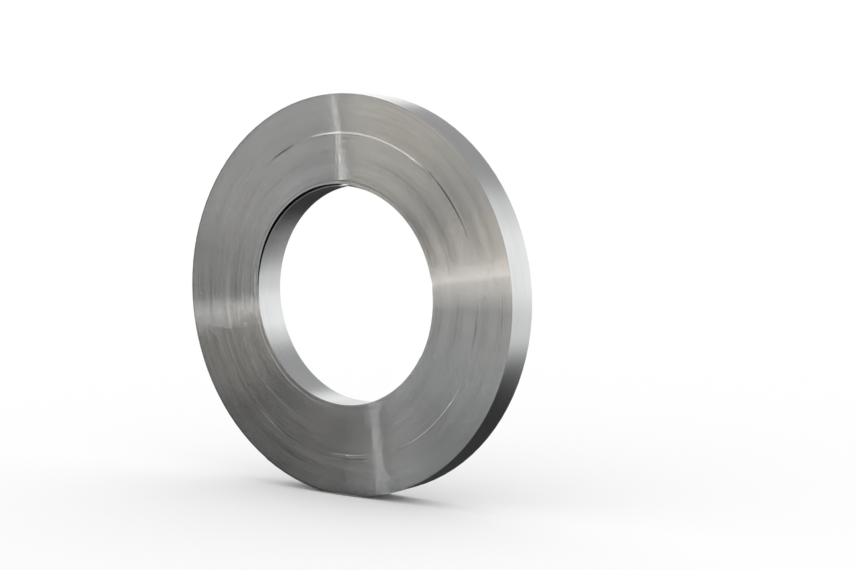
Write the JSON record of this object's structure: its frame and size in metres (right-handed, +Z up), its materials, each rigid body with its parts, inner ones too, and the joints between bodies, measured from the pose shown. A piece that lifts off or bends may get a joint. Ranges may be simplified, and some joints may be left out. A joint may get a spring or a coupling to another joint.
{
  "type": "steel coil",
  "caption": "Narrow coil of slit steel strip, wound tight round an open bore and standing on its rim, as stock for an uncoiler.",
  "frame": {"origin": "on the floor under the middle of the coil, which stands on its rim", "axes": "+Y along the bore, from the front end to the back end, and +Z up"},
  "size_m": [0.9349, 0.0824, 0.935],
  "materials": {
    "steel": "satin, bare"
  },
  "bodies": {
    "root": {"coil": "steel"}
  },
  "joints": []
}
